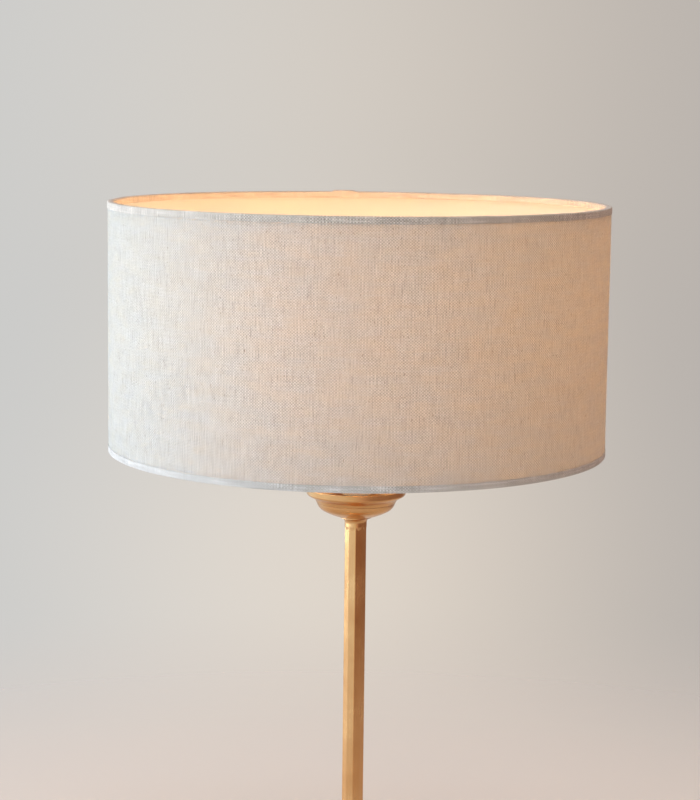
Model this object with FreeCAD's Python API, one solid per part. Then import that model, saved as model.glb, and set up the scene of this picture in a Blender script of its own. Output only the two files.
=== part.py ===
# Table lamp: a lined linen drum shade over a brass cup, a faceted brass stem and a weighted round
# base. Lengths are in millimetres. The lamp stands up along +Z, with its origin in the middle of
# the felt pad's underside. Its back, where the flex goes in, faces +Y.
import FreeCAD, Part
import math
import os

Vector = FreeCAD.Vector
UP = Vector(0, 0, 1)
BACK = Vector(0, 1, 0)

# Whole lamp: the stem takes up what the base, the cup and the shade leave of the height
total_height = 500.0
base_radius = 75.0
shade_radius = 149.7
shade_height = 149.0

# Making: gaps that several pieces share
overrun = 1.0
glue_gap = 0.05
thread_gap = 0.05
loose_gap = 0.3

# Shade: linen on a stiff liner, taped over a wire at each rim
linen_thickness = 0.5
liner_thickness = 0.5
tape_thickness = 0.3
tape_height = 4.0
tape_edge_rounding = 0.15
tape_inside_rounding = 1.0
wire_radius = 1.25
arm_radius = 1.25
arm_count = 3
arm_weld_length = 3.4
arm_notch_gap = 0.3
fitter_thickness = 1.2
seam_width = 16.0
seam_thickness = 0.5
seam_angle = 93.8

# Threaded nipples that join stem, base, cup and lampholder
nipple_radius = 5.0
nipple_wall = 1.5
nipple_grip = 12.0
nut_wall = 2.0
nut_height = 3.0
nut_chamfer = 0.8
washer_margin = 0.9
washer_thickness = 0.8

# Stem: a round tube with flats along it, and a round neck at each end
facet_count = 10
facet_depth = 0.28
facet_clearance = 1.4
facet_runout = 2.2
stem_bore_step = 0.7
neck_wall = 1.73
neck_length = 3.2
neck_fillet = 3.2
neck_flare = 3.2
neck_edge = 0.4

# Cup: a spun bowl, domed with a tighter knuckle round it, under a flared saucer
brass_sheet = 1.2
bowl_radius = 24.2
bowl_depth = 10.2
bowl_crown = 42.0
bowl_knuckle = 7.4
saucer_foot_width = 1.1
saucer_foot_height = 2.2
saucer_foot_rounding = 0.7
saucer_flare_width = 4.8
saucer_flare_height = 2.7
saucer_flare_rounding = 1.6
saucer_lip_width = 0.4
saucer_lip_height = 3.9
sheet_edge_rounding = 0.2

# Base: felt pad, cast weight, spun cover and turned foot
felt_thickness = 2.0
felt_inset = 1.6
rim_height = 13.5
rim_rounding = 2.5
rim_slope_height = 1.2
step_inset = 9.0
step_run = 1.5
step_height = 2.0
step_rounding = 1.0
dome_rise = 3.8
land_margin = 1.5
weight_gap = 0.4
weight_rounding = 2.2
boss_wall = 3.5
boss_ceiling = 6.3
recess_gap = 3.0
foot_radius = 15.0
foot_edge_height = 1.5
foot_dome_height = 8.0

# Cable inlet bush at the back of the base
inlet_bore_radius = 3.2
inlet_wall = 0.9
inlet_flange_width = 1.2
inlet_flange_thickness = 1.6
inlet_flange_rounding = 0.5
inlet_inner_length = 4.0
channel_gap = 0.5

# Lampholder, from its foot up, for a 27 mm screw cap
holder_boss_wall = 3.95
holder_boss_height = 4.0
holder_shoulder_rise = 7.0
holder_band_height = 4.5
holder_spigot_height = 5.0
holder_wall = 2.0
holder_floor = 3.0
holder_rounding = 4.0
insert_floor = 5.0
insert_wall = 2.6
insert_gap = 0.15
insert_top_gap = 1.5
sleeve_wall = 0.5
sleeve_top_gap = 3.0
skirt_wall = 2.2
skirt_ledge = 1.4
skirt_seat_wall = 1.35
skirt_reach = 26.0
flange_thickness = 2.5
flange_seat_width = 3.4
flange_rounding = 0.5
shade_thread_depth = 0.75
shade_thread_pitch = 2.5
shade_thread_start = 3.5
shade_thread_end = 2.0
fitter_gap = 0.6
grip_screw_radius = 1.5
terminal_radius = 1.5
terminal_skin = 1.0
terminal_head_radius = 2.75
terminal_head_height = 1.8
terminal_spacing = 21.0
terminal_slot_width = 0.8
terminal_slot_depth = 0.7
leaf_thickness = 0.4
leaf_width = 4.0
leaf_foot_length = 3.0
leaf_rise = 3.0
leaf_rise_length = 3.0
leaf_tip_length = 3.0
side_leaf_length = 5.0

# Clamp ring that holds the shade down
clamp_flange_width = 4.1
clamp_flange_thickness = 2.2
clamp_wall = 2.4
clamp_height = 9.0
clamp_rounding = 0.8
grip_groove_count = 24
grip_groove_radius = 0.6
grip_groove_depth_share = 0.7

# Bulb
bulb_length = 108.0
globe_radius = 30.0
globe_wall = 1.5
globe_mouth_drop = 18.0
cap_radius = 13.2
cap_height = 26.0
cap_wall = 0.4
cap_thread_depth = 1.1
cap_thread_pitch = 3.6
cap_thread_start = 3.0
contact_radius = 4.8
contact_thickness = 1.0
contact_rounding = 0.6
insulator_low_radius = 5.6
insulator_height = 4.5
cap_foot_step = 1.5
housing_wall = 1.8
housing_overhang = 1.1
housing_neck_height = 6.0
housing_rounding = 14.0
housing_spigot_length = 5.0
plate_thickness = 1.5
plate_ledge = 1.0
plate_gap = 0.2
chip_count = 12
chip_length = 3.5
chip_width = 2.8
chip_height = 0.7
chip_circle_share = 0.7
board_width = 14.0
board_height = 22.0
board_thickness = 1.6

# Radii of the stem and what screws into it
nipple_hole_radius = nipple_radius + thread_gap
nipple_bore_radius = nipple_radius - nipple_wall
nut_across_flats = 2 * (nipple_radius + nut_wall)
nut_corner_radius = nut_across_flats / 2 / math.cos(math.pi / 6)
washer_radius = nut_corner_radius + washer_margin
neck_radius = nipple_hole_radius + neck_wall
stem_bore_radius = nipple_radius - stem_bore_step
stem_across_flats = 2 * (neck_radius - facet_depth)
recess_radius = washer_radius + recess_gap
boss_radius = recess_radius + boss_wall
land_radius = boss_radius + land_margin
inlet_barrel_radius = inlet_bore_radius + inlet_wall
knuckle_reach = bowl_radius - bowl_knuckle
knuckle_lean = math.asin(knuckle_reach / (bowl_crown - bowl_knuckle))
foot_ball_radius = (foot_radius ** 2 + foot_dome_height ** 2) / (2 * foot_dome_height)

# Radii of the lampholder and the clamp ring, from the bulb's cap outwards
sleeve_inner = cap_radius + loose_gap
sleeve_outer = sleeve_inner + sleeve_wall
insert_inner = sleeve_outer + glue_gap
insert_outer = insert_inner + insert_wall
skirt_inner = insert_outer + insert_gap
shade_thread_root = skirt_inner + skirt_wall
shade_thread_radius = shade_thread_root + shade_thread_depth
skirt_low_inner = skirt_inner + skirt_ledge
holder_radius = skirt_low_inner + skirt_wall
holder_boss_radius = nipple_hole_radius + holder_boss_wall
spigot_radius = skirt_low_inner - insert_gap
fitter_bore_radius = shade_thread_radius + fitter_gap
flange_radius = fitter_bore_radius + flange_seat_width
clamp_bore_radius = shade_thread_radius + loose_gap
clamp_flange_radius = clamp_bore_radius + clamp_flange_width
arm_inner_radius = clamp_flange_radius + loose_gap
fitter_radius = arm_inner_radius + arm_weld_length

# Radii of the shade, from the linen's face inwards
liner_outer = shade_radius - linen_thickness - glue_gap
liner_inner = liner_outer - liner_thickness
wire_ring_radius = liner_inner - glue_gap - wire_radius
tape_inner_radius = wire_ring_radius - wire_radius - glue_gap

# Heights of the shade, from the top down
shade_top = total_height
shade_bottom = shade_top - shade_height
linen_low = shade_bottom + tape_thickness + glue_gap
linen_high = shade_top - tape_thickness - glue_gap
low_wire_height = linen_low + wire_radius
high_wire_height = linen_high - wire_radius
fitter_top = low_wire_height - arm_radius
seat_height = fitter_top - fitter_thickness

# Heights of the lampholder and the cup, from the shade's seat down
socket_floor = seat_height - skirt_seat_wall - insert_gap
insert_bottom = socket_floor - insert_floor
holder_joint = insert_bottom - holder_spigot_height
holder_shoulder = holder_joint - holder_band_height
holder_boss_top = holder_shoulder - holder_shoulder_rise
holder_bottom = holder_boss_top - holder_boss_height
holder_floor_top = holder_boss_top + holder_floor
skirt_top = seat_height + skirt_reach
cup_nut_bottom = holder_bottom - nut_height
cup_washer_bottom = cup_nut_bottom - washer_thickness
saucer_bottom = cup_washer_bottom - brass_sheet
bowl_tip = saucer_bottom - bowl_depth
crown_height = bowl_tip + bowl_crown
knuckle_height = crown_height - (bowl_crown - bowl_knuckle) * math.cos(knuckle_lean)
stem_top = bowl_tip - neck_length

# Heights of the base, from the floor up
rim_top = felt_thickness + rim_height
slope_top = rim_top + rim_slope_height
step_top = slope_top + step_height
land_height = step_top + dome_rise
recess_top = land_height - brass_sheet - boss_ceiling
inlet_height = felt_thickness + (rim_height - rim_rounding) / 2
foot_dome_low = land_height + foot_edge_height
foot_tip = foot_dome_low + foot_dome_height
foot_ball_height = foot_tip - foot_ball_radius
stem_bottom = foot_tip + neck_length

# Heights of the bulb, from its contact up
bulb_bottom = socket_floor + leaf_rise + leaf_thickness + loose_gap
bulb_top = bulb_bottom + bulb_length
insulator_bottom = bulb_bottom + contact_thickness
cap_bottom = insulator_bottom + insulator_height
cap_top = bulb_bottom + cap_height
cap_root_radius = cap_radius - cap_thread_depth
cap_foot_radius = cap_root_radius - cap_foot_step
globe_height = bulb_top - globe_radius
mouth_height = globe_height - globe_mouth_drop
mouth_radius = math.sqrt(globe_radius ** 2 - globe_mouth_drop ** 2)
plate_bottom = mouth_height - plate_thickness


def unit(start, end):
    """Direction from one outline point to the next, and the distance."""
    run = math.hypot(end[0] - start[0], end[1] - start[1])
    return (end[0] - start[0]) / run, (end[1] - start[1]) / run, run


def room(side, neighbour):
    """Length of a side that one corner's rounding may use: half if the neighbour is rounded too."""
    return side if neighbour[2] == 0 else side / 2


def outline(corners):
    """Closed face in the XZ plane from corners given as (x, z, rounding)."""
    runs = []
    for index, corner in enumerate(corners):
        before = corners[index - 1]
        after = corners[(index + 1) % len(corners)]
        point = Vector(corner[0], 0, corner[1])
        back_x, back_z, back_side = unit(corner, before)
        next_x, next_z, next_side = unit(corner, after)
        turn = math.acos(max(-1, min(1, back_x * next_x + back_z * next_z)))
        if corner[2] == 0 or math.pi - turn < 1e-6:
            runs.append((point, None, point))
            continue
        setback = corner[2] / math.tan(turn / 2)
        setback = min(setback, room(back_side, before), room(next_side, after))
        radius = setback * math.tan(turn / 2)
        start = point + Vector(back_x, 0, back_z) * setback
        end = point + Vector(next_x, 0, next_z) * setback
        inward = Vector(back_x + next_x, 0, back_z + next_z).normalize()
        middle = point + inward * (radius / math.sin(turn / 2) - radius)
        runs.append((start, middle, end))
    edges = []
    for index, (start, middle, end) in enumerate(runs):
        previous_end = runs[index - 1][2]
        if previous_end.distanceToPoint(start) > 1e-6:
            edges.append(Part.LineSegment(previous_end, start).toShape())
        if middle is not None:
            edges.append(Part.Arc(start, middle, end).toShape())
    return Part.Face(Part.Wire(edges))


def lathe(corners):
    """Solid turned about the lamp's axis from corners given as (radius, height, rounding)."""
    return outline(corners).revolve(Vector(0, 0, 0), UP, 360)


def sheet_corners(path, wall, edge_rounding=0):
    """Corners of a sheet of even thickness whose wall lies to the left of a path of corners."""
    far_side = []
    for index, (x, z, rounding) in enumerate(path):
        before = unit(path[max(index - 1, 0)], path[max(index, 1)])
        after = unit(path[min(index, len(path) - 2)], path[min(index + 1, len(path) - 1)])
        spread = 1 + before[0] * after[0] + before[1] * after[1]
        shift_x = -(before[1] + after[1]) / spread * wall
        shift_z = (before[0] + after[0]) / spread * wall
        turns_left = before[0] * after[1] - before[1] * after[0] > 0
        if rounding != 0:
            rounding = max(rounding - wall, 0) if turns_left else rounding + wall
        far_side.append((x + shift_x, z + shift_z, rounding))
    near_side = list(path)
    for side in (near_side, far_side):
        for end in (0, -1):
            side[end] = (side[end][0], side[end][1], edge_rounding)
    return near_side + far_side[::-1]


def pressed(path, wall, edge_rounding=0):
    """Sheet metal or tape of even thickness, turned about the lamp's axis."""
    return lathe(sheet_corners(path, wall, edge_rounding))


def disc(radius, low, high):
    return Part.makeCylinder(radius, high - low, Vector(0, 0, low))


def tube(outer_radius, inner_radius, low, high):
    return disc(outer_radius, low, high).cut(disc(inner_radius, low - overrun, high + overrun))


def prism(side_count, across_flats, low, high):
    """Upright prism with one corner towards the front."""
    corner_radius = across_flats / 2 / math.cos(math.pi / side_count)
    corners = []
    for index in range(side_count + 1):
        angle = 2 * math.pi * index / side_count - math.pi / 2
        corners.append(Vector(corner_radius * math.cos(angle), corner_radius * math.sin(angle), low))
    return Part.Face(Part.makePolygon(corners)).extrude(Vector(0, 0, high - low))


def around(shape, count):
    """Copies of a shape spaced evenly about the lamp's axis."""
    copies = []
    for index in range(count):
        copy = shape.copy()
        copy.rotate(Vector(0, 0, 0), UP, 360 * index / count)
        copies.append(copy)
    return copies


def hex_nut(low):
    """Hexagon nut with chamfered corners on a nipple."""
    high = low + nut_height
    blank = lathe([
        (nipple_hole_radius, low, 0),
        (nut_corner_radius - nut_chamfer, low, 0),
        (nut_corner_radius, low + nut_chamfer, 0),
        (nut_corner_radius, high - nut_chamfer, 0),
        (nut_corner_radius - nut_chamfer, high, 0),
        (nipple_hole_radius, high, 0),
    ])
    return blank.common(prism(6, nut_across_flats, low, high))


def neck_ring(stem_end, ball_side):
    """Round neck that flares out to the ball beside it. ball_side is 1 above the stem, else -1."""
    flare_radius = neck_radius + neck_flare
    ball_radius = bowl_crown if ball_side > 0 else foot_ball_radius
    ball_tip = stem_end + ball_side * neck_length
    ball_drop = ball_radius - math.sqrt(ball_radius ** 2 - flare_radius ** 2)
    flare_face = ball_tip + ball_side * (ball_drop - neck_edge)
    buried_face = ball_tip + ball_side * (ball_drop + neck_edge)
    return lathe([
        (nipple_hole_radius, stem_end, 0),
        (neck_radius, stem_end, 0),
        (neck_radius, flare_face, neck_fillet),
        (flare_radius, flare_face, 0),
        (flare_radius, buried_face, 0),
        (nipple_hole_radius, buried_face, 0),
    ])


def felt_pad():
    return disc(base_radius - felt_inset, 0, felt_thickness)


def base_weight():
    """Cast disc with a boss up to the cover, a recess for the nut and a channel for the flex."""
    radius = base_radius - brass_sheet - weight_gap
    top = rim_top - brass_sheet - weight_gap
    boss_top = land_height - brass_sheet
    weight = lathe([
        (0, felt_thickness, 0),
        (radius, felt_thickness, 0),
        (radius, top, weight_rounding),
        (boss_radius, top, weight_rounding),
        (boss_radius, boss_top, 0),
        (0, boss_top, 0),
    ])
    weight = weight.cut(disc(nipple_hole_radius, 0, land_height))
    weight = weight.cut(disc(recess_radius, felt_thickness - overrun, recess_top))
    channel_half = inlet_barrel_radius + channel_gap
    channel_low = felt_thickness - overrun
    channel_height = inlet_height + channel_half - channel_low
    corner = Vector(-channel_half, 0, channel_low)
    return weight.cut(Part.makeBox(2 * channel_half, base_radius, channel_height, corner))


def base_cover():
    """Spun brass cover, with a stepped rim and a flat land under the foot."""
    step_radius = base_radius - step_inset
    cover = pressed([
        (base_radius, felt_thickness, 0),
        (base_radius, rim_top, rim_rounding),
        (step_radius, slope_top, step_rounding),
        (step_radius - step_run, step_top, step_rounding + brass_sheet),
        (land_radius, land_height, rim_rounding),
        (nipple_hole_radius, land_height, 0),
    ], brass_sheet)
    hole_radius = inlet_barrel_radius + thread_gap
    return cover.cut(Part.makeCylinder(hole_radius, 2 * base_radius, Vector(0, 0, inlet_height), BACK))


def cable_inlet_bush():
    """Moulded bush that lines the hole for the flex, lying along +Y."""
    inner_end = -brass_sheet - inlet_inner_length
    flange = inlet_barrel_radius + inlet_flange_width
    bush = lathe([
        (inlet_bore_radius, inner_end, 0),
        (inlet_barrel_radius, inner_end, 0),
        (inlet_barrel_radius, 0, 0),
        (flange, 0, 0),
        (flange, inlet_flange_thickness, inlet_flange_rounding),
        (inlet_bore_radius, inlet_flange_thickness, 0),
    ])
    bush.rotate(Vector(0, 0, 0), Vector(1, 0, 0), -90)
    bush.translate(Vector(0, base_radius, inlet_height))
    return bush


def base_washer():
    return tube(washer_radius, nipple_hole_radius, recess_top - washer_thickness, recess_top)


def base_nut():
    return hex_nut(recess_top - washer_thickness - nut_height)


def base_nipple():
    low = recess_top - washer_thickness - nut_height - overrun
    return tube(nipple_radius, nipple_bore_radius, low, stem_bottom + nipple_grip)


def stem_foot():
    """Turned foot: a low dome on the cover with a round neck for the stem."""
    ball = Part.makeSphere(foot_ball_radius, Vector(0, 0, foot_ball_height))
    dome = ball.common(disc(foot_ball_radius, foot_dome_low, foot_tip))
    foot = dome.fuse([disc(foot_radius, land_height, foot_dome_low), neck_ring(stem_bottom, -1)])
    return foot.cut(disc(nipple_hole_radius, land_height - overrun, stem_bottom + overrun)).removeSplitter()


def facet_end(end, way):
    """Cone at an end of the stem, where the flats run out. way is 1 at the top and -1 at the bottom."""
    start = end - way * facet_clearance
    return lathe([
        (0, end, 0),
        (neck_radius + overrun, end, 0),
        (neck_radius + overrun, start, 0),
        (neck_radius, start, 0),
        (neck_radius - 2 * facet_depth, start - way * 2 * facet_runout, 0),
        (0, start - way * 2 * facet_runout, 0),
    ])


def stem():
    """Round tube with flats that run out before each end, threaded inside there."""
    flats = prism(facet_count, stem_across_flats, stem_bottom, stem_top)
    flats = flats.fuse([facet_end(stem_top, 1), facet_end(stem_bottom, -1)])
    body = tube(neck_radius, stem_bore_radius, stem_bottom, stem_top).common(flats)
    grip = nipple_grip + loose_gap
    body = body.cut(disc(nipple_hole_radius, stem_bottom - overrun, stem_bottom + grip))
    return body.cut(disc(nipple_hole_radius, stem_top - grip, stem_top + overrun))


def neck_collar():
    """Turned collar between stem and bowl, dished to sit on the bowl."""
    ball = Part.makeSphere(bowl_crown, Vector(0, 0, crown_height))
    return neck_ring(stem_top, 1).cut(ball)


def bowl_form(inset):
    """Bowl filled in up to the saucer, with its face drawn in by inset."""
    crown = bowl_crown - inset
    knuckle = bowl_knuckle - inset
    rim_lean = math.acos((knuckle_height - saucer_bottom) / knuckle)

    def on_crown(lean):
        return Vector(crown * math.sin(lean), 0, crown_height - crown * math.cos(lean))

    def on_knuckle(lean):
        reach = knuckle_reach + knuckle * math.sin(lean)
        return Vector(reach, 0, knuckle_height - knuckle * math.cos(lean))

    tip = on_crown(0)
    bend = on_crown(knuckle_lean)
    rim = on_knuckle(rim_lean)
    middle = Vector(0, 0, saucer_bottom)
    edges = [
        Part.Arc(tip, on_crown(knuckle_lean / 2), bend).toShape(),
        Part.Arc(bend, on_knuckle((knuckle_lean + rim_lean) / 2), rim).toShape(),
        Part.LineSegment(rim, middle).toShape(),
        Part.LineSegment(middle, tip).toShape(),
    ]
    return Part.Face(Part.Wire(edges)).revolve(Vector(0, 0, 0), UP, 360)


def bowl():
    """Spun bowl, open under the saucer."""
    shell = bowl_form(0).cut(bowl_form(brass_sheet))
    return shell.cut(disc(nipple_hole_radius, bowl_tip - overrun, saucer_bottom))


def saucer():
    """Spun saucer that steps up from the bowl's rim, flares and ends in an upright lip."""
    step_radius = bowl_radius + saucer_foot_width
    step_top = saucer_bottom + saucer_foot_height
    flare_radius = step_radius + saucer_flare_width
    flare_top = step_top + saucer_flare_height
    return pressed([
        (nipple_hole_radius, saucer_bottom, 0),
        (bowl_radius, saucer_bottom, saucer_foot_rounding),
        (step_radius, step_top, saucer_flare_rounding),
        (flare_radius, flare_top, saucer_flare_rounding),
        (flare_radius + saucer_lip_width, flare_top + saucer_lip_height, 0),
    ], brass_sheet, sheet_edge_rounding)


def top_nipple():
    return tube(nipple_radius, nipple_bore_radius, stem_top - nipple_grip, holder_floor_top)


def cup_washer():
    return tube(washer_radius, nipple_hole_radius, cup_washer_bottom, cup_nut_bottom)


def cup_nut():
    return hex_nut(cup_nut_bottom)


def grip_pin(radius, inner_radius):
    """Pin that lies across the lampholder's boss at the back."""
    start = Vector(0, inner_radius, holder_bottom + holder_boss_height / 2)
    return Part.makeCylinder(radius, holder_boss_radius - inner_radius, start, BACK)


def holder_base():
    """Moulded lower half of the lampholder, screwed on the top nipple."""
    spigot_inner = spigot_radius - holder_wall
    shell = lathe([
        (nipple_hole_radius, holder_bottom, 0),
        (holder_boss_radius, holder_bottom, 0),
        (holder_boss_radius, holder_boss_top, holder_rounding),
        (holder_radius, holder_shoulder, holder_rounding),
        (holder_radius, holder_joint, 0),
        (spigot_radius, holder_joint, 0),
        (spigot_radius, insert_bottom, 0),
        (spigot_inner, insert_bottom, 0),
        (spigot_inner, holder_shoulder + holder_wall, holder_rounding),
        (holder_boss_radius, holder_floor_top, 0),
        (nipple_hole_radius, holder_floor_top, 0),
    ])
    return shell.cut(grip_pin(grip_screw_radius + thread_gap, nipple_radius))


def grip_screw():
    return grip_pin(grip_screw_radius, nipple_hole_radius)


def terminal_screws():
    """Slotted screws that go up into the insert."""
    head_low = insert_bottom - terminal_head_height
    screw = disc(terminal_radius, insert_bottom, socket_floor - terminal_skin)
    screw = screw.fuse(disc(terminal_head_radius, head_low, insert_bottom))
    corner = Vector(-terminal_head_radius, -terminal_slot_width / 2, head_low)
    slot = Part.makeBox(2 * terminal_head_radius, terminal_slot_width, terminal_slot_depth, corner)
    screw = screw.cut(slot)
    screw.translate(Vector(terminal_spacing / 2, 0, 0))
    return Part.makeCompound(around(screw, 2))


def holder_insert():
    """Moulded core that carries the contacts, with a wall round the thread sleeve."""
    wall_top = skirt_top - insert_top_gap
    core = lathe([
        (0, insert_bottom, 0),
        (spigot_radius, insert_bottom, 0),
        (spigot_radius, socket_floor, 0),
        (insert_outer, socket_floor, 0),
        (insert_outer, wall_top, 0),
        (insert_inner, wall_top, 0),
        (insert_inner, socket_floor, 0),
        (0, socket_floor, 0),
    ])
    hole = disc(terminal_radius + thread_gap, insert_bottom - overrun, socket_floor - terminal_skin)
    hole.translate(Vector(terminal_spacing / 2, 0, 0))
    return core.cut(around(hole, 2))


def leaf(path):
    """Bent contact leaf, centred on the XZ plane."""
    strip = outline(sheet_corners(path, leaf_thickness)).extrude(Vector(0, leaf_width, 0))
    strip.translate(Vector(0, -leaf_width / 2, 0))
    return strip


def centre_contact():
    """Sprung leaf under the bulb's contact."""
    rise_start = -leaf_tip_length / 2 - leaf_rise_length
    return leaf([
        (rise_start - leaf_foot_length, socket_floor, 0),
        (rise_start, socket_floor, 0),
        (-leaf_tip_length / 2, socket_floor + leaf_rise, 0),
        (leaf_tip_length / 2, socket_floor + leaf_rise, 0),
    ])


def side_contact():
    """Flat leaf under the thread sleeve."""
    strip = leaf([(sleeve_outer - side_leaf_length, socket_floor, 0), (sleeve_outer, socket_floor, 0)])
    return strip.common(disc(sleeve_outer, socket_floor, socket_floor + leaf_thickness))


def thread_sleeve():
    low = socket_floor + leaf_thickness
    return tube(sleeve_outer, sleeve_inner, low, skirt_top - sleeve_top_gap)


def holder_skirt():
    """Moulded upper half: a flange that the shade sits on and a threaded skirt above it."""
    corners = [
        (skirt_low_inner, holder_joint, 0),
        (holder_radius, holder_joint, 0),
        (holder_radius, seat_height - flange_thickness, 0),
        (flange_radius, seat_height - flange_thickness, flange_rounding),
        (flange_radius, seat_height, flange_rounding),
        (shade_thread_root, seat_height, 0),
    ]
    threaded_length = skirt_reach - shade_thread_start - shade_thread_end
    step = shade_thread_pitch / 4
    for turn in range(int(threaded_length / shade_thread_pitch)):
        start = seat_height + shade_thread_start + turn * shade_thread_pitch
        corners += [
            (shade_thread_root, start, 0),
            (shade_thread_radius, start + step, 0),
            (shade_thread_radius, start + 2 * step, 0),
            (shade_thread_root, start + 3 * step, 0),
        ]
    corners += [
        (shade_thread_root, skirt_top, flange_rounding),
        (skirt_inner, skirt_top, flange_rounding),
        (skirt_inner, socket_floor + insert_gap, 0),
        (skirt_low_inner, socket_floor + insert_gap, 0),
    ]
    return lathe(corners)


def shade_linen():
    return tube(shade_radius, shade_radius - linen_thickness, linen_low, linen_high)


def shade_liner():
    return tube(liner_outer, liner_inner, linen_low, linen_high)


def wire_ring(height):
    return Part.makeTorus(wire_ring_radius, wire_radius, Vector(0, 0, height))


def top_wire():
    return wire_ring(high_wire_height)


def bottom_wire():
    return wire_ring(low_wire_height)


def spider_arms():
    """Straight arms from the fitter ring to the bottom wire, one of them to the back."""
    start = Vector(0, arm_inner_radius, fitter_top + arm_radius)
    length = wire_ring_radius - wire_radius / 2 - arm_inner_radius
    arm = Part.makeCylinder(arm_radius, length, start, BACK).cut(bottom_wire())
    return Part.makeCompound(around(arm, arm_count))


def fitter_ring():
    return tube(fitter_radius, fitter_bore_radius, seat_height, fitter_top)


def top_trim():
    """Linen tape folded over the liner's edge and the wire inside it."""
    outer = shade_radius + glue_gap
    leg_end = shade_top - tape_height
    fold = shade_top - tape_thickness
    return pressed([
        (tape_inner_radius, leg_end, 0),
        (tape_inner_radius, fold, tape_inside_rounding),
        (outer, fold, tape_edge_rounding),
        (outer, leg_end, 0),
    ], tape_thickness)


def bottom_trim():
    """The same tape at the bottom rim, slit inside for the arms."""
    trim = top_trim().mirror(Vector(0, 0, (shade_top + shade_bottom) / 2), UP)
    slit_half = arm_radius + arm_notch_gap
    slit_start = tape_inner_radius - tape_thickness - overrun
    slit_depth = wire_ring_radius - wire_radius / 2 - slit_start
    corner = Vector(-slit_half, slit_start, shade_bottom - overrun)
    slit = Part.makeBox(2 * slit_half, slit_depth, tape_height + 2 * overrun, corner)
    return trim.cut(around(slit, arm_count))


def rear_seam():
    """Overlap of the linen down the back, a little to one side."""
    low = shade_bottom + tape_height
    high = shade_top - tape_height
    inner = shade_radius + glue_gap
    spread = math.degrees(seam_width / shade_radius)
    wedge = Part.makeCylinder(inner + seam_thickness, high - low, Vector(0, 0, low), UP, spread)
    seam = wedge.cut(disc(inner, low - overrun, high + overrun))
    seam.rotate(Vector(0, 0, 0), UP, seam_angle - spread / 2)
    return seam


def shade_ring():
    """Moulded ring that screws down on the fitter ring, grooved for the fingers."""
    body_radius = clamp_bore_radius + clamp_wall
    flange_top = fitter_top + clamp_flange_thickness
    top = fitter_top + clamp_height
    ring = lathe([
        (clamp_bore_radius, fitter_top, 0),
        (clamp_flange_radius, fitter_top, 0),
        (clamp_flange_radius, flange_top, clamp_rounding),
        (body_radius, flange_top, 0),
        (body_radius, top, clamp_rounding),
        (clamp_bore_radius, top, 0),
    ])
    groove = disc(grip_groove_radius, flange_top + grip_groove_radius, top + overrun)
    groove.translate(Vector(body_radius + grip_groove_radius * (1 - grip_groove_depth_share), 0, 0))
    return ring.cut(around(groove, grip_groove_count))


def cap_contact():
    return lathe([
        (0, bulb_bottom, 0),
        (contact_radius, bulb_bottom, contact_rounding),
        (contact_radius, insulator_bottom, 0),
        (0, insulator_bottom, 0),
    ])


def cap_insulator():
    corner = Vector(0, 0, insulator_bottom)
    return Part.makeCone(insulator_low_radius, cap_foot_radius, insulator_height, corner)


def screw_cap():
    """Thin metal cap with a rounded thread, drawn as rings one pitch apart."""
    step = cap_thread_pitch / 4
    thread_low = cap_bottom + cap_thread_start
    path = [(cap_foot_radius, cap_bottom, 0), (cap_root_radius, thread_low, step)]
    for turn in range(int((cap_top - thread_low) / cap_thread_pitch)):
        start = thread_low + turn * cap_thread_pitch
        path += [
            (cap_radius, start + step, step),
            (cap_radius, start + 2 * step, step),
            (cap_root_radius, start + 3 * step, step),
            (cap_root_radius, start + 4 * step, step),
        ]
    path.append((cap_root_radius, cap_top, 0))
    return pressed(path, cap_wall)


def bulb_housing():
    """Moulded body between cap and globe, with a spigot in the cap and a ledge for the plate."""
    spigot = cap_root_radius - cap_wall - glue_gap
    inner_spigot = spigot - housing_wall
    neck = cap_radius + housing_overhang
    inner_mouth = mouth_radius - housing_wall
    inner_ledge = inner_mouth - plate_ledge
    return lathe([
        (inner_spigot, cap_top - housing_spigot_length, 0),
        (spigot, cap_top - housing_spigot_length, 0),
        (spigot, cap_top, 0),
        (neck, cap_top, 0),
        (neck, cap_top + housing_neck_height, housing_rounding),
        (mouth_radius, mouth_height, 0),
        (inner_mouth, mouth_height, 0),
        (inner_mouth, plate_bottom, 0),
        (inner_ledge, plate_bottom, 0),
        (inner_ledge, plate_bottom - plate_ledge, 0),
        (inner_spigot, cap_top + housing_neck_height, housing_rounding),
    ])


def led_plate():
    return disc(mouth_radius - housing_wall - plate_gap, plate_bottom, mouth_height)


def led_chips():
    circle = (mouth_radius - housing_wall) * chip_circle_share
    corner = Vector(circle - chip_length / 2, -chip_width / 2, mouth_height)
    chip = Part.makeBox(chip_length, chip_width, chip_height, corner)
    return Part.makeCompound(around(chip, chip_count))


def driver_board():
    """Circuit board that hangs from the plate into the housing."""
    corner = Vector(-board_width / 2, -board_thickness / 2, plate_bottom - board_height)
    return Part.makeBox(board_width, board_thickness, board_height, corner)


def bulb_globe():
    """Opal shell on the housing's mouth."""
    centre = Vector(0, 0, globe_height)
    shell = Part.makeSphere(globe_radius, centre).cut(Part.makeSphere(globe_radius - globe_wall, centre))
    return shell.common(disc(globe_radius, mouth_height, bulb_top + overrun))


pieces = [
    felt_pad, base_weight, base_cover, cable_inlet_bush, base_washer, base_nut, base_nipple,
    stem_foot, stem, neck_collar, bowl, saucer, top_nipple, cup_washer, cup_nut,
    holder_base, grip_screw, terminal_screws, holder_insert, centre_contact, side_contact,
    thread_sleeve, holder_skirt, shade_linen, shade_liner, top_wire, bottom_wire, spider_arms,
    fitter_ring, top_trim, bottom_trim, rear_seam, shade_ring, cap_contact, cap_insulator,
    screw_cap, bulb_housing, led_plate, led_chips, driver_board, bulb_globe,
]

os.makedirs("parts", exist_ok=True)
for piece in pieces:
    piece().exportStep("parts/" + piece.__name__ + ".step")
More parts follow.
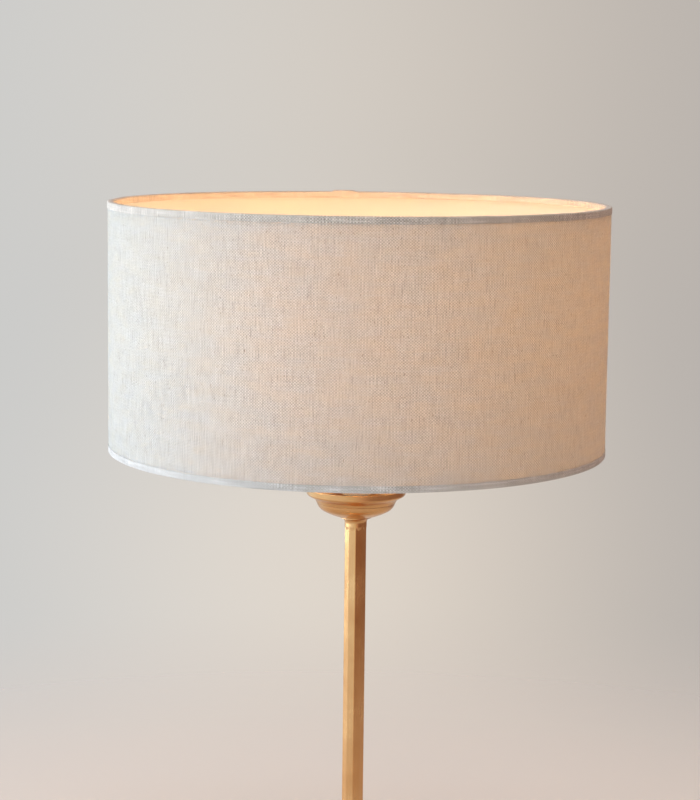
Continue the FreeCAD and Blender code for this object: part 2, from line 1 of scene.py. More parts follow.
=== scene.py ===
# Table lamp: a lined linen drum shade over a brass cup, a faceted brass stem and a weighted base.
# The sections follow the lamp as it is put together, after its camera and studio. Lengths are in metres.
import bpy
import math
from mathutils import Matrix, Vector, noise


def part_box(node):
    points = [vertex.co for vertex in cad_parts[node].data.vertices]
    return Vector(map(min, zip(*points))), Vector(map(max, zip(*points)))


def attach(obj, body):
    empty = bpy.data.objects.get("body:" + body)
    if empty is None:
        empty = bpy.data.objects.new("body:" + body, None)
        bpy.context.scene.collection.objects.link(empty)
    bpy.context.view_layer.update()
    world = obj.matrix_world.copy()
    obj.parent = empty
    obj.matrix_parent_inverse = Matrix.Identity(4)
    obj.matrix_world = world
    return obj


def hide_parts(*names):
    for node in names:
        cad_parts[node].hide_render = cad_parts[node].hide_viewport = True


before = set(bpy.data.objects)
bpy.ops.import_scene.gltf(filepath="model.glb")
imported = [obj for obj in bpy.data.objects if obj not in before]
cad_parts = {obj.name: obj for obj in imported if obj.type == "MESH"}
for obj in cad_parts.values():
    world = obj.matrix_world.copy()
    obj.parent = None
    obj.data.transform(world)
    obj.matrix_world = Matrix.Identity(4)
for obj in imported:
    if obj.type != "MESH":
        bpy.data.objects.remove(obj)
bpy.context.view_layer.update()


# Camera: 1.3 m in front of the lamp, a little above the shade's rim, tilted down and slightly askew,
# as the photograph was taken.
camera_place = Vector((-0.00435, -1.2909, 0.5639))
camera_tilt = math.radians(8.08)
camera_roll = math.radians(0.67)
level_right = Vector((1, 0, 0))
level_up = Vector((0, math.sin(camera_tilt), math.cos(camera_tilt)))
view_right = level_right * math.cos(camera_roll) + level_up * math.sin(camera_roll)
view_up = level_up * math.cos(camera_roll) - level_right * math.sin(camera_roll)
camera_turn = Matrix((view_right, view_up, view_right.cross(view_up))).transposed()
camera = bpy.data.objects.new("camera", bpy.data.cameras.new("camera"))
bpy.context.scene.collection.objects.link(camera)
camera.data.lens = 96.9
camera.data.sensor_width = 36
camera.matrix_world = Matrix.Translation(camera_place) @ camera_turn.to_4x4()
bpy.context.scene.camera = camera
bpy.context.scene.view_settings.view_transform = "Standard"


# Studio: a pale room, cool on the left and dim and brown low on the right. A warm glow of the lamp
# is painted on the plain wall behind it, above and below its shade. Two cool windows stand on the left.
# The floor is painted a little darker and browner close to the lamp, as painted shade, and fades out into
# the room.
def add(tree, kind, inputs={}, **settings):
    """One shader node. Its inputs go in by name or number, each as a value or another node's output."""
    made = tree.nodes.new("ShaderNode" + kind)
    for name, value in settings.items():
        setattr(made, name, value)
    for name, value in inputs.items():
        if isinstance(value, bpy.types.NodeSocket):
            tree.links.new(value, made.inputs[name])
        else:
            made.inputs[name].default_value = value
    return made


def sum_of(tree, operation, *values, clamp=False):
    """A Math node's output."""
    return add(tree, "Math", dict(enumerate(values)), operation=operation, use_clamp=clamp).outputs[0]


def mixed(tree, share, first, second, way="MIX"):
    """A colour between two colours, each a node's output or red, green and blue."""
    made = add(tree, "Mix", {0: share}, data_type="RGBA", blend_type=way)
    for place, colour in ((6, first), (7, second)):
        if isinstance(colour, bpy.types.NodeSocket):
            tree.links.new(colour, made.inputs[place])
        else:
            made.inputs[place].default_value = (*colour, 1)
    return made.outputs[2]


def tinted(tree, colour, tint):
    """A colour times another one."""
    return mixed(tree, 1.0, colour, tint, "MULTIPLY")


def grey_of(tree, value):
    """A grey as bright as a value."""
    return add(tree, "CombineColor", {0: value, 1: value, 2: value}).outputs[0]


def stepped(tree, value, low, high, from_low=0.0, to_high=1.0):
    """A value that climbs smoothly from from_low to to_high while the first value goes from low to high."""
    ends = {"Value": value, "From Min": low, "From Max": high, "To Min": from_low, "To Max": to_high}
    return add(tree, "MapRange", ends, interpolation_type="SMOOTHSTEP").outputs["Result"]


def length_of(tree, vector):
    """How long a vector is."""
    return add(tree, "VectorMath", {0: vector}, operation="LENGTH").outputs["Value"]


wall_left = (0.60, 0.60, 0.59)
wall_right = (0.485, 0.45, 0.42)
wall_blend = 0.18
wall_edge = (0.66, 0.90)
# Painted glow of the lamp on the wall behind it, above and below its shade.
wall_glows = ((-0.215, 0.20, (0.19, 0.14, 0.085)), (0.01, 0.22, (0.10, 0.07, 0.035)))
room_tones = ((-1.0, (1.18, 1.30, 1.38)), (-0.55, (1.11, 1.20, 1.30)), (-0.12, (1.07, 1.08, 0.95)),
              (0.20, (0.88, 0.62, 0.55)), (0.55, (0.58, 0.33, 0.25)), (1.0, (0.41, 0.29, 0.24)))
low_from = 0.06
low_tone = 0.78
brown_tone = (0.27, 0.145, 0.108)
brown_near = (0.30, 0.55)
brown_far = (1.0, 0.75)
brown_far_share = 0.3
studio = bpy.data.worlds.new("studio")
bpy.context.scene.world = studio
studio.use_nodes = True
room = studio.node_tree
outward = add(room, "TexCoord").outputs["Generated"]
ray = add(room, "SeparateXYZ", {0: outward}).outputs
across = add(room, "ValToRGB", {0: sum_of(room, "MULTIPLY_ADD", ray["X"], 0.5, 0.5)})
ramp = across.color_ramp.elements
ramp[0].color = (*room_tones[0][1], 1)
ramp[1].color = (*room_tones[-1][1], 1)
for reach, tone in room_tones[1:-1]:
    ramp.new(reach / 2 + 0.5).color = (*tone, 1)
wall = mixed(room, stepped(room, ray["X"], -wall_blend, wall_blend), wall_left, wall_right)
# Painted glow of the lamp on the wall.
for height, spread, warmth in wall_glows:
    aside = add(room, "CombineXYZ", {0: ray["X"], 1: sum_of(room, "SUBTRACT", ray["Z"], height)}).outputs[0]
    wall = mixed(room, stepped(room, length_of(room, aside), spread, 0.0), wall, warmth, "ADD")
low = stepped(room, ray["Z"], low_from, -low_from)
dimmed = mixed(room, low, across.outputs["Color"], (low_tone,) * 3, "MULTIPLY")
brown_share = sum_of(room, "MULTIPLY", low, stepped(room, ray["X"], *brown_near))
brown_share = sum_of(room, "MULTIPLY", brown_share, stepped(room, ray["X"], *brown_far, brown_far_share))
sides = mixed(room, brown_share, dimmed, brown_tone)
background = mixed(room, stepped(room, ray["Y"], *wall_edge), sides, wall)
room.links.new(background, room.nodes["Background"].inputs["Color"])

floor_radius = 1.1
floor_solid = 0.25
floor_corners = 96
floor_patch = 3.0
floor_paint = (0.72, 0.67, 0.62)
floor_worn = 0.97
# Painted shade: the floor is darker and browner close to the lamp.
floor_painted_shade = (0.56, 0.49, 0.42)
floor_painted_shade_reach = (0.10, 0.50)
floor = bpy.data.objects.new("floor", bpy.data.meshes.new("floor"))
floor_edge = [Vector((math.cos(turn), math.sin(turn), 0)) * floor_radius
              for turn in (math.tau * corner / floor_corners for corner in range(floor_corners))]
floor.data.from_pydata(floor_edge, [], [range(floor_corners)])
bpy.context.scene.collection.objects.link(floor)
floor_material = bpy.data.materials.new("floor")
floor.data.materials.append(floor_material)
floor_material.use_nodes = True
tree = floor_material.node_tree
place = add(tree, "TexCoord").outputs["Object"]
grain = add(tree, "TexNoise", {"Vector": place, "Scale": floor_patch, "Detail": 2.0}).outputs["Fac"]
distance = length_of(tree, place)
paint = mixed(tree, grain, floor_paint, tuple(floor_worn * tone for tone in floor_paint))
# Painted shade close to the lamp.
paint = mixed(tree, stepped(tree, distance, *floor_painted_shade_reach), floor_painted_shade, paint)
plain = tree.nodes["Principled BSDF"]
tree.links.new(paint, plain.inputs["Base Color"])
plain.inputs["Roughness"].default_value = 0.8
fade = stepped(tree, distance, floor_solid, floor_radius)
gone = add(tree, "MixShader", {0: fade, 1: plain.outputs[0], 2: add(tree, "BsdfTransparent").outputs[0]})
tree.links.new(gone.outputs[0], tree.nodes["Material Output"].inputs["Surface"])

window_height = 0.6
window_aim = Vector((0, 0, 0.35))
for name, place, width, power, tint in (
        ("side_window", (-2.10, 0.25, 0.33), 1.4, 28, (0.92, 0.90, 1.0)),
        ("front_window", (-1.80, -1.26, 0.40), 0.7, 10, (0.60, 0.76, 1.0))):
    window = bpy.data.objects.new(name, bpy.data.lights.new(name, "AREA"))
    bpy.context.scene.collection.objects.link(window)
    window.data.shape = "RECTANGLE"
    window.data.size = width
    window.data.size_y = window_height
    window.data.energy = power
    window.data.color = tint
    window.visible_camera = False
    window.location = place
    window.rotation_euler = (window_aim - window.location).to_track_quat("-Z", "Y").to_euler()


# Felt pad: a disc of dark wool felt, cut with a sharp edge and glued under the base, so that the lamp
# stands softly. Its face is fuzzy.
def new_finish(name, **even):
    """A material with its node tree, its surface node and the place on the lamp. The values that are
    even all over go in by socket name."""
    material = bpy.data.materials.new(name)
    material.use_nodes = True
    surface = material.node_tree.nodes["Principled BSDF"]
    for socket, value in even.items():
        surface.inputs[socket.replace("_", " ")].default_value = value
    return material, material.node_tree, surface, add(material.node_tree, "TexCoord").outputs["Object"]


def cloud(tree, place, size, detail=2.0, stretch=(1.0, 1.0, 1.0)):
    """Soft noise from 0 to 1 whose patches are about this size, longer where stretch is over 1."""
    scale = tuple(1 / (size * longer) for longer in stretch)
    moved = add(tree, "VectorMath", {0: place, 1: scale}, operation="MULTIPLY").outputs["Vector"]
    return add(tree, "TexNoise", {"Vector": moved, "Scale": 1.0, "Detail": detail}).outputs["Fac"]


def paint_with(tree, surface, colour):
    """Gives the surface its colour."""
    tree.links.new(colour, surface.inputs["Base Color"])


def emboss(tree, surface, height, depth):
    """Raises the surface by up to depth where height is 1."""
    bump = add(tree, "Bump", {"Height": height, "Distance": depth, "Strength": 1.0})
    tree.links.new(bump.outputs["Normal"], surface.inputs["Normal"])


def give(material, *pieces):
    """Puts a material on pieces, each a CAD node's name or an object."""
    for piece in pieces:
        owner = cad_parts[piece] if isinstance(piece, str) else piece
        if not owner.material_slots:
            owner.data.materials.append(material)
        for slot in owner.material_slots:
            slot.material = material


felt_black = (0.020, 0.018, 0.017)
felt_grey = (0.055, 0.050, 0.046)
felt_fibre = 0.0006
felt, tree, surface, place = new_finish("felt", Roughness=0.95, Sheen_Weight=0.3)
fuzz = cloud(tree, place, felt_fibre, detail=4.0)
paint_with(tree, surface, mixed(tree, fuzz, felt_black, felt_grey))
emboss(tree, surface, fuzz, felt_fibre)
give(felt, "felt_pad")


# Base: a cast weight, painted against rust, under a spun cover of lacquered brass. A nipple, washer
# and nut of plated steel clamp both to the turned foot.
iron_paint = (0.030, 0.031, 0.034)
iron_bloom = (0.060, 0.058, 0.055)
sand_grain = 0.0012
sand_depth = 0.0002
cast_iron, tree, surface, place = new_finish("painted cast iron", Roughness=0.6)
sand = cloud(tree, place, sand_grain, detail=5.0)
paint_with(tree, surface, mixed(tree, sand, iron_paint, iron_bloom))
emboss(tree, surface, sand, sand_depth)
give(cast_iron, "base_weight")

brass_rose = (0.69, 0.385, 0.160)
brass_gold = (0.77, 0.465, 0.205)
brass_dulled = 0.90
brass_brightened = 1.08
brass_roughness = 0.13
patina_patch = 0.022
patina_limits = (0.35, 0.65)
patina_roughness = 0.14
polish_line = 0.00035
polish_depth = 0.00001
polish_roughness = 0.10
drawn_stretch = 120.0
lathe_drift = 0.02


def axis_distance(tree, parts):
    """Distance from the lamp's axis."""
    return length_of(tree, add(tree, "CombineXYZ", {0: parts["X"], 1: parts["Y"]}).outputs[0])


def lathe_place(tree, place):
    """Distance from the lamp's axis and height, with a little of the way round, for marks left by turning."""
    parts = add(tree, "SeparateXYZ", {0: place}).outputs
    reach = axis_distance(tree, parts)
    drift = sum_of(tree, "MULTIPLY", parts["X"], lathe_drift)
    return add(tree, "CombineXYZ", {0: reach, 1: drift, 2: parts["Z"]}).outputs[0]


def satin_brass(name, turned):
    """Lacquered brass. Its polishing lines go round a turned piece, or along a drawn one."""
    brass, tree, surface, place = new_finish(name, Metallic=1.0, Coat_Weight=0.15, Coat_Roughness=0.2)
    if turned:
        lines = cloud(tree, lathe_place(tree, place), polish_line, detail=3.0)
        surface.inputs["Anisotropic"].default_value = 0.45
        around = add(tree, "Tangent", direction_type="RADIAL", axis="Z").outputs["Tangent"]
        tree.links.new(around, surface.inputs["Tangent"])
    else:
        lines = cloud(tree, place, polish_line, detail=3.0, stretch=(1.0, 1.0, drawn_stretch))
    patina = cloud(tree, place, patina_patch, detail=4.0)
    tone = mixed(tree, stepped(tree, patina, *patina_limits), brass_rose, brass_gold)
    ends = {"Value": lines, "To Min": brass_dulled, "To Max": brass_brightened}
    dulled = add(tree, "MapRange", ends).outputs["Result"]
    paint_with(tree, surface, tinted(tree, tone, grey_of(tree, dulled)))
    smears = sum_of(tree, "MULTIPLY_ADD", patina, patina_roughness, brass_roughness)
    rough = sum_of(tree, "MULTIPLY_ADD", lines, polish_roughness, smears)
    tree.links.new(rough, surface.inputs["Roughness"])
    emboss(tree, surface, lines, polish_depth)
    return brass


turned_brass = satin_brass("turned brass", True)
give(turned_brass, "base_cover", "stem_foot")

zinc_bright = (0.62, 0.63, 0.64)
zinc_dull = (0.42, 0.43, 0.44)
zinc_spangle = 0.0009
tool_line = 0.0004
tool_depth = 0.00003
zinc, tree, surface, place = new_finish("zinc plate", Metallic=1.0, Roughness=0.38)
spangle = cloud(tree, place, zinc_spangle, detail=3.0)
paint_with(tree, surface, mixed(tree, spangle, zinc_dull, zinc_bright))
emboss(tree, surface, cloud(tree, lathe_place(tree, place), tool_line), tool_depth)
give(zinc, "base_nipple", "base_washer", "base_nut")


# Flex inlet: a moulded black bush, pressed into the back of the cover, which keeps the flex off the
# metal's edge.
spark_grain = 0.0008
spark_depth = 0.00003
flow_patch = 0.012
bush_black = (0.018, 0.018, 0.019)
bush_grey = (0.026, 0.026, 0.027)


def moulded(name, colour, shade, roughness, grain=spark_grain):
    """Moulded plastic with a fine spark-eroded grain and a faint unevenness of colour."""
    plastic, tree, surface, place = new_finish(name, Roughness=roughness, IOR=1.49)
    flow = cloud(tree, place, flow_patch, detail=3.0)
    paint_with(tree, surface, mixed(tree, flow, colour, shade))
    emboss(tree, surface, cloud(tree, place, grain, detail=3.0), spark_depth)
    return plastic


black_plastic = moulded("black plastic", bush_black, bush_grey, roughness=0.45)
give(black_plastic, "cable_inlet_bush")


# Stem: a drawn brass tube with flat facets, lacquered. A plain round neck is turned at each end, which
# fits the foot and the collar.
drawn_brass = satin_brass("drawn brass", False)
give(drawn_brass, "stem")


# Cup: a turned collar on the stem, a spun bowl and a flared saucer, all of lacquered brass. A nipple,
# washer and nut of plated steel hold them together.
give(turned_brass, "neck_collar", "bowl", "saucer")
give(zinc, "top_nipple", "cup_washer", "cup_nut")


# Lampholder: two halves and an insert, moulded in cream plastic, on the cup's nipple. A pressed brass
# sleeve and two contacts take the bulb, and small steel screws hold the wires and the nipple.
holder_cream = (0.80, 0.77, 0.70)
holder_shadow = (0.74, 0.70, 0.62)
holder_plastic = moulded("lampholder plastic", holder_cream, holder_shadow, roughness=0.38)
give(holder_plastic, "holder_base", "holder_insert", "holder_skirt")

steel_dull = (0.50, 0.50, 0.50)
steel_bright = (0.66, 0.66, 0.65)
steel_scuff = 0.0005
scuff_depth = 0.00002


def rubbed_metal(name, dull, bright, patch, roughness, detail=4.0):
    """Bare metal with dull and bright patches that stand very slightly proud of each other."""
    metal, tree, surface, place = new_finish(name, Metallic=1.0, Roughness=roughness)
    scuffs = cloud(tree, place, patch, detail)
    paint_with(tree, surface, mixed(tree, scuffs, dull, bright))
    emboss(tree, surface, scuffs, scuff_depth)
    return metal


screw_steel = rubbed_metal("bright steel", steel_dull, steel_bright, steel_scuff, roughness=0.3)
give(screw_steel, "grip_screw", "terminal_screws")

contact_tarnish = (0.55, 0.36, 0.13)
contact_yellow = (0.78, 0.58, 0.26)
tarnish_patch = 0.003
contact_brass, tree, surface, place = new_finish("contact brass", Metallic=1.0, Roughness=0.35)
tarnish = cloud(tree, place, tarnish_patch, detail=4.0)
paint_with(tree, surface, mixed(tree, tarnish, contact_tarnish, contact_yellow))
emboss(tree, surface, cloud(tree, place, steel_scuff), scuff_depth)
give(contact_brass, "centre_contact", "side_contact", "thread_sleeve")


# Shade liner: a stiff translucent film, rolled into a drum and fixed to the frame's two rings. It carries
# the linen and spreads the light.
def lets_light_through(tree, surface, share, colour):
    """Mixes in the light that shines through from behind."""
    behind = add(tree, "BsdfTranslucent").outputs[0]
    glow = behind.node.inputs["Color"]
    if isinstance(colour, bpy.types.NodeSocket):
        tree.links.new(colour, glow)
    else:
        glow.default_value = (*colour, 1)
    both = add(tree, "MixShader", {0: share, 1: surface.outputs[0], 2: behind})
    tree.links.new(both.outputs[0], tree.nodes["Material Output"].inputs["Surface"])


liner_white = (0.90, 0.885, 0.86)
liner_glow = (0.98, 0.95, 0.92)
liner_dimmed = 0.97
liner_light_share = 0.75
liner_haze = 0.05
liner_grain = 0.0007
liner_depth = 0.00001
liner_film, tree, surface, place = new_finish("liner film", Roughness=0.55, IOR=1.45)
haze = cloud(tree, place, liner_haze, detail=3.0)
paint_with(tree, surface, mixed(tree, haze, liner_white, tuple(liner_dimmed * tone for tone in liner_white)))
emboss(tree, surface, cloud(tree, place, liner_grain), liner_depth)
lets_light_through(tree, surface, liner_light_share, liner_glow)
give(liner_film, "shade_liner")


# Shade frame: a steel wire ring at each rim, three arms and the pressed fitter ring, welded together
# and powder coated white.
coat_white = (0.84, 0.83, 0.80)
coat_shadow = (0.78, 0.77, 0.74)
coat_peel = 0.0010
coat_depth = 0.00006
powder_coat, tree, surface, place = new_finish("white powder coat", Roughness=0.4, IOR=1.5)
peel = cloud(tree, place, coat_peel, detail=2.0)
paint_with(tree, surface, mixed(tree, peel, coat_white, coat_shadow))
emboss(tree, surface, peel, coat_depth)
give(powder_coat, "top_wire", "bottom_wire", "spider_arms", "fitter_ring")


# Linen: one strip of plain-woven natural linen glued round the liner. Its end is folded under and
# laps over its start down the back of the shade.
crease_angle = math.radians(50)
columns_round = 720


def skin(name, section):
    """A closed mesh round the lamp's axis. At each angle, section gives its points in turn, each a radius
    and a height."""
    turns = [math.tau * column / columns_round for column in range(columns_round)]
    rings = [section(turn) for turn in turns]
    points = [(radius * math.cos(turn), radius * math.sin(turn), height)
              for turn, ring in zip(turns, rings) for radius, height in ring]
    rows = len(rings[0])
    faces = []
    for column in range(columns_round):
        here, beside = column * rows, (column + 1) % columns_round * rows
        for row in range(rows):
            above = (row + 1) % rows
            faces.append((here + row, beside + row, beside + above, here + above))
    mesh = bpy.data.meshes.new(name)
    mesh.from_pydata(points, [], faces)
    mesh.shade_smooth()
    mesh.set_sharp_from_angle(angle=crease_angle)
    piece = bpy.data.objects.new(name, mesh)
    bpy.context.scene.collection.objects.link(piece)
    return piece


def ripple(turn, height, size, depth):
    """Unevenness of hand-glued cloth, in waves of a size, up to depth either way."""
    around = Vector((math.cos(turn), math.sin(turn), height / shade_radius))
    return depth * noise.noise(around * shade_radius / size)


seam_low, seam_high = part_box("rear_seam")
linen_low, linen_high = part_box("shade_linen")
shade_radius = linen_high.x
linen_thickness = 0.0005
linen_rows = 48
linen_margin = 0.0004
linen_bottom = linen_low.z + linen_margin
linen_top = linen_high.z - linen_margin
linen_ripple = (0.030, 0.00008)
seam_turn = math.atan2((seam_low.y + seam_high.y) / 2, (seam_low.x + seam_high.x) / 2)
seam_half = (seam_high.x - seam_low.x) / 2 / shade_radius
seam_ramp = 0.0016 / shade_radius
seam_fold = 0.0004 / shade_radius


def lap(turn):
    """How far the overlap stands up at an angle: a ramp over the strip's start, a sharp fold at its end."""
    across = (turn - seam_turn + math.pi) % math.tau - math.pi
    ramp = max(0, min(1, (across + seam_half) / seam_ramp))
    fold = max(0, min(1, (seam_half - across) / seam_fold))
    return ramp * ramp * (3 - 2 * ramp) * fold


def linen_section(turn):
    """The strip's section at an angle: its outer face from the bottom to the top, and its glued face."""
    rise = lap(turn) * linen_thickness
    outside = []
    for row in range(linen_rows + 1):
        height = linen_bottom + (linen_top - linen_bottom) * row / linen_rows
        outside.append((shade_radius + rise + ripple(turn, height, *linen_ripple), height))
    inner = shade_radius - linen_thickness
    return [(inner, linen_bottom)] + outside + [(inner, linen_top)]


warp_pitch = 0.00090
weft_pitch = 0.00080
sway_width = 0.009
sway_length = 0.030
crossing = 0.4
weave_depth = 0.00012
cloud_limits = (0.30, 0.70)
warp_beige = (0.52, 0.55, 0.54)
weft_pale = (0.99, 1.00, 1.00)
warp_tone_length = 0.014
warp_tones = (0.86, 1.09)
weft_tone_length = 0.016
weft_tones = (0.93, 1.06)
crisp_patch = (0.010, 0.008)
crisp_patch_tones = (0.45, 1.35)
crisp_thread = (0.0014, 0.0012)
crisp_thread_tones = (0.1, 1.9)
pair_patch = (0.005, 0.010)
pair_tones = (-0.10, 0.26)
dense_patch = (0.020, 0.005)
dense_tones = (0.0, 1.0)
dense_gain = 0.15
warp_slub_length = 0.012
warp_slub_limits = (0.54, 0.80)
warp_slub_share = 0.45
warp_slub_rise = 0.3
weft_slub_length = 0.018
weft_slub_limits = (0.50, 0.72)
weft_slub_share = 0.6
slub_brown = (0.42, 0.36, 0.30)
fleck_size = (0.0009, 0.0025)
fleck_limits = (0.66, 0.74)
fleck_brown = (0.16, 0.11, 0.08)
# Painted light on the side towards the windows: a paler warp, a softer weave and a cooler glow, from start to
# end as shares of the shade's radius towards -X.
window_side_start = -0.15
window_side_end = -1.10
window_side_softening = 0.4
window_side_paling = 0.06
window_side_glow_tint = (0.73, 0.90, 1.0)
fold_outer = 0.0008
fold_inner = 0.0016
glow_thin = (1.00, 0.885, 0.69)
glow_thick = (0.79, 0.72, 0.58)
glow_tone_gain = 0.4
glow_warp = 0.86
glow_weft_gain = 0.24
warp_slub_stops = 0.35
weft_slub_stops = 0.22


def woven(name, warp_colour, light_share, tint=None, inner_painted_glow=None):
    """Plain-woven linen: warp threads up and pale weft threads round, with slubs and flecks of husk.
    tint multiplies its colour. light_share of the light that falls on one face goes through to the other.
    Towards the windows the cloth is painted paler, its weave softer and its glow cooler: painted light.
    The last argument paints a warm glow on the part folded in."""
    linen, tree, surface, place = new_finish(name, Roughness=0.9, Sheen_Weight=0.3, Sheen_Roughness=0.4)
    parts = add(tree, "SeparateXYZ", {0: place}).outputs
    behind = sum_of(tree, "MULTIPLY", parts["Y"], -1.0)
    turn = sum_of(tree, "ARCTAN2", parts["X"], behind)
    along = sum_of(tree, "MULTIPLY", turn, shade_radius)
    cloth = add(tree, "CombineXYZ", {0: along, 1: parts["Z"]}).outputs[0]

    def threads(length_round, length_up, detail=3.0):
        return cloud(tree, cloth, 1.0, detail, stretch=(length_round, length_up, 1.0))

    def tones(noise_value, low, high):
        return stepped(tree, noise_value, *cloud_limits, low, high)

    def times(first, second):
        return sum_of(tree, "MULTIPLY", first, second)

    def scaled(value, gain, start, clamp=False):
        return sum_of(tree, "MULTIPLY_ADD", value, gain, start, clamp=clamp)

    warp = scaled(along, 1 / warp_pitch, threads(sway_width, sway_length, 2.0))
    weft = scaled(parts["Z"], 1 / weft_pitch, threads(sway_length, sway_width, 2.0))
    warp_wave = sum_of(tree, "SINE", times(warp, math.pi))
    weft_wave = sum_of(tree, "SINE", times(weft, math.pi))
    weft_over = stepped(tree, times(warp_wave, weft_wave), crossing, -crossing)
    warp_over = sum_of(tree, "SUBTRACT", 1.0, weft_over)
    warp_bulge = times(sum_of(tree, "ABSOLUTE", warp_wave), warp_over)
    weft_bulge = times(sum_of(tree, "ABSOLUTE", weft_wave), weft_over)
    height = sum_of(tree, "MAXIMUM", warp_bulge, weft_bulge)

    tone = times(tones(threads(warp_pitch, warp_tone_length), *warp_tones),
                 tones(threads(weft_tone_length, weft_pitch), *weft_tones))
    dense = tones(threads(*dense_patch), *dense_tones)
    warp_slub = stepped(tree, threads(warp_pitch, warp_slub_length), *warp_slub_limits)
    weft_slub = stepped(tree, threads(weft_slub_length, weft_pitch), *weft_slub_limits)
    flecks = stepped(tree, threads(*fleck_size, 2.0), *fleck_limits)
    # Painted light: the side towards the windows.
    window_side_painted_light = stepped(tree, parts["X"], window_side_start * shade_radius, window_side_end * shade_radius)
    crispness = times(tones(threads(*crisp_patch), *crisp_patch_tones),
                      tones(threads(*crisp_thread, 1.0), *crisp_thread_tones))
    crispness = times(crispness, scaled(window_side_painted_light, -window_side_softening, 1.0))
    pattern = scaled(sum_of(tree, "SUBTRACT", weft_over, 0.5), crispness, 0.5)
    paired = times(tones(threads(*pair_patch), *pair_tones), warp_wave)
    pattern = sum_of(tree, "ADD", pattern, paired)

    # Painted light: a paler warp towards the windows.
    window_side_warp = tuple(window_side_paling + part for part in warp_colour)
    colour = mixed(tree, pattern, mixed(tree, window_side_painted_light, warp_colour, window_side_warp), weft_pale)
    colour = mixed(tree, times(warp_slub, warp_slub_share), colour, slub_brown)
    colour = mixed(tree, times(weft_slub, weft_slub_share), colour, weft_pale)
    colour = mixed(tree, flecks, colour, fleck_brown)
    lit = times(tone, scaled(dense, dense_gain, 1 - dense_gain / 2))
    colour = tinted(tree, colour, grey_of(tree, lit))
    if tint:
        colour = tinted(tree, colour, tint)
    # Painted glow on the folded-in part.
    if inner_painted_glow:
        reach = axis_distance(tree, parts)
        inner = stepped(tree, reach, shade_radius - fold_outer, shade_radius - fold_inner)
        colour = mixed(tree, inner, colour, inner_painted_glow, "MULTIPLY")
    paint_with(tree, surface, colour)
    emboss(tree, surface, scaled(warp_slub, warp_slub_rise, height), weave_depth)
    if light_share:
        thinness = scaled(tone, -glow_tone_gain, 1 + glow_tone_gain)
        passed = times(thinness, scaled(pattern, glow_weft_gain, glow_warp))
        passed = scaled(warp_slub, -warp_slub_stops, passed)
        passed = scaled(weft_slub, -weft_slub_stops, passed, clamp=True)
        glow = tinted(tree, mixed(tree, dense, glow_thin, glow_thick), grey_of(tree, passed))
        # Painted light: a cooler glow towards the windows.
        glow = mixed(tree, window_side_painted_light, glow, window_side_glow_tint, "MULTIPLY")
        lets_light_through(tree, surface, light_share, glow)
    return linen


linen_light_share = 0.44
linen_cloth = woven("linen", warp_beige, linen_light_share)
linen = skin("linen", linen_section)
give(linen_cloth, linen)
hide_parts("shade_linen", "rear_seam")
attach(linen, "shade")


# Hems: the same linen, cut as a tape, folded over each rim and the wire inside it, and glued.
# The top one is painted warmer and a little darker, a painted glow of the warm bulb, and the side of each
# that is folded in is painted warmer too, also a painted glow.
hem_beige = (0.38, 0.38, 0.31)
hem_tint = (0.83, 0.83, 0.83)
# Painted glow of the bulb, all over the top hem.
hem_top_painted_glow = (0.81, 0.76, 0.71)
# Painted glow of the bulb on the folded-in side of both hems.
hem_inner_painted_glow = (0.93, 0.82, 0.77)
hem_cloth = woven("linen hem", hem_beige, 0.0, hem_tint, hem_inner_painted_glow)
# Painted glow: the top hem's cloth is warmer than the bottom one's.
top_hem_painted_glow_cloth = woven("top linen hem painted glow", hem_beige, 0.0, hem_top_painted_glow, hem_inner_painted_glow)
hem_low, hem_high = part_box("top_trim")
hem_height = hem_high.z - hem_low.z
hem_thickness = 0.0003
hem_outer = hem_high.x
hem_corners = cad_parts["top_trim"].data.vertices
hem_inner = min(math.hypot(corner.co.x, corner.co.y) for corner in hem_corners)
hem_outer_bend = 0.0007
hem_inner_bend = 0.0012
hem_lap_rise = 0.0008
hem_edge_ripple = (0.012, 0.00018)
hem_face_ripple = (0.020, 0.00006)
hem_fold_ripple = (0.025, 0.00010)


def bend(centre_radius, centre_height, radius, start, end, steps=4):
    """Points round a bend of a section, between two directions in degrees."""
    turns = [math.radians(start + (end - start) * step / steps) for step in range(steps + 1)]
    return [(centre_radius + radius * math.cos(turn), centre_height + radius * math.sin(turn))
            for turn in turns]


def hem_section(rim, way):
    """The section of a hem at a rim. way is 1 for the top rim, which it goes over, and -1 for the bottom."""
    def section(turn):
        lapped = lap(turn)
        edge_outside = hem_height + ripple(turn, rim, *hem_edge_ripple)
        edge_inside = hem_height + ripple(turn, -rim, *hem_edge_ripple)
        outer = hem_outer + lapped * linen_thickness + ripple(turn, rim, *hem_face_ripple)
        inner = hem_inner + ripple(turn, -rim, *hem_face_ripple)
        fold = hem_lap_rise * lapped + ripple(turn, 2 * rim, *hem_fold_ripple)
        over = [(outer, -edge_outside)]
        over += bend(outer - hem_outer_bend, fold - hem_outer_bend, hem_outer_bend, 0, 90)
        over += bend(inner + hem_inner_bend, fold - hem_inner_bend, hem_inner_bend, 90, 180)
        over += [(inner, -edge_inside)]
        under = [(inner + hem_thickness, -edge_inside)]
        under += bend(inner + hem_inner_bend, fold - hem_inner_bend, hem_inner_bend - hem_thickness, 180, 90)
        under += bend(outer - hem_outer_bend, fold - hem_outer_bend, hem_outer_bend - hem_thickness, 90, 0)
        under += [(outer - hem_thickness, -edge_outside)]
        return [(radius, rim + way * height) for radius, height in over + under]
    return section


top_hem = skin("top_hem", hem_section(hem_high.z, 1))
bottom_hem = skin("bottom_hem", hem_section(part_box("bottom_trim")[0].z, -1))
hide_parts("top_trim")
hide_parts("bottom_trim")
for hem, cloth in ((top_hem, top_hem_painted_glow_cloth), (bottom_hem, hem_cloth)):
    give(cloth, hem)
    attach(hem, "shade")


# Clamp ring: a ring moulded in the lampholder's plastic, with finger grooves. It screws down on the
# fitter ring and holds the shade.
ring_plastic = moulded("clamp ring plastic", holder_cream, holder_shadow, roughness=0.30)
give(ring_plastic, "shade_ring")


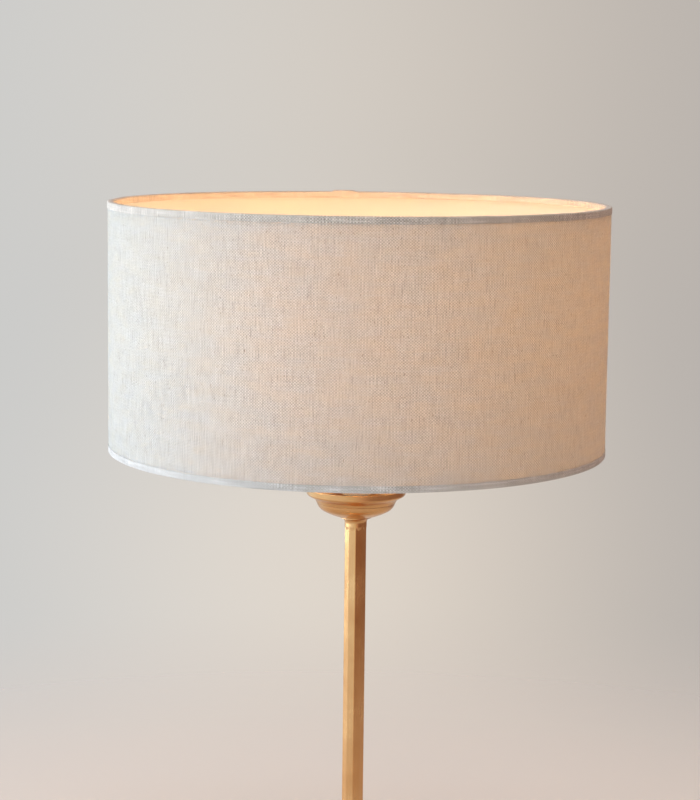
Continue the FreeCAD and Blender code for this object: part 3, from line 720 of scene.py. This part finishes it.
# Bulb: a plated screw cap with a black glass insulator and a contact at its tip, crimped on a moulded
# white housing.
nickel_dull = (0.60, 0.58, 0.54)
nickel_bright = (0.74, 0.72, 0.68)
nickel_rub = 0.0015
nickel = rubbed_metal("nickel plate", nickel_dull, nickel_bright, nickel_rub, roughness=0.28)
give(nickel, "screw_cap", "cap_contact")

glass_black = (0.012, 0.012, 0.015)
glass_grey = (0.020, 0.020, 0.024)
cap_glass = moulded("insulator", glass_black, glass_grey, roughness=0.15)
give(cap_glass, "cap_insulator")

housing_white = (0.80, 0.80, 0.78)
housing_shadow = (0.76, 0.76, 0.74)
housing_plastic = moulded("bulb housing plastic", housing_white, housing_shadow, roughness=0.42)
give(housing_plastic, "bulb_housing")


# Inside the bulb: a green circuit board and, on a milled aluminium plate, light-emitting chips. The
# opal globe is glued over them, and is lit evenly.
board_green = (0.010, 0.085, 0.035)
board_light_green = (0.014, 0.110, 0.045)
board_weave = 0.002
board_laminate = moulded("circuit board", board_green, board_light_green, roughness=0.35, grain=board_weave)
give(board_laminate, "driver_board")

plate_dull = (0.72, 0.72, 0.73)
plate_bright = (0.82, 0.82, 0.83)
plate_milling = 0.0006
plate_metal = rubbed_metal("plate aluminium", plate_dull, plate_bright, plate_milling, roughness=0.42,
                           detail=3.0)
give(plate_metal, "led_plate")

chip_yellow = (0.85, 0.62, 0.16)
chip_orange = (0.80, 0.56, 0.13)
chip_phosphor = moulded("chip phosphor", chip_yellow, chip_orange, roughness=0.25)
give(chip_phosphor, "led_chips")

lamp_light = (1.0, 0.61, 0.29)
lamp_strength = 42.0
opal_white = (0.90, 0.89, 0.86)
opal_shadow = (0.86, 0.85, 0.82)
opal_frost = 0.004
opal, tree, surface, place = new_finish("lit opal", Roughness=0.35, IOR=1.49)
frost = cloud(tree, place, opal_frost, detail=2.0)
paint_with(tree, surface, mixed(tree, frost, opal_white, opal_shadow))
surface.inputs["Emission Color"].default_value = (*lamp_light, 1)
surface.inputs["Emission Strength"].default_value = lamp_strength
give(opal, "bulb_globe")
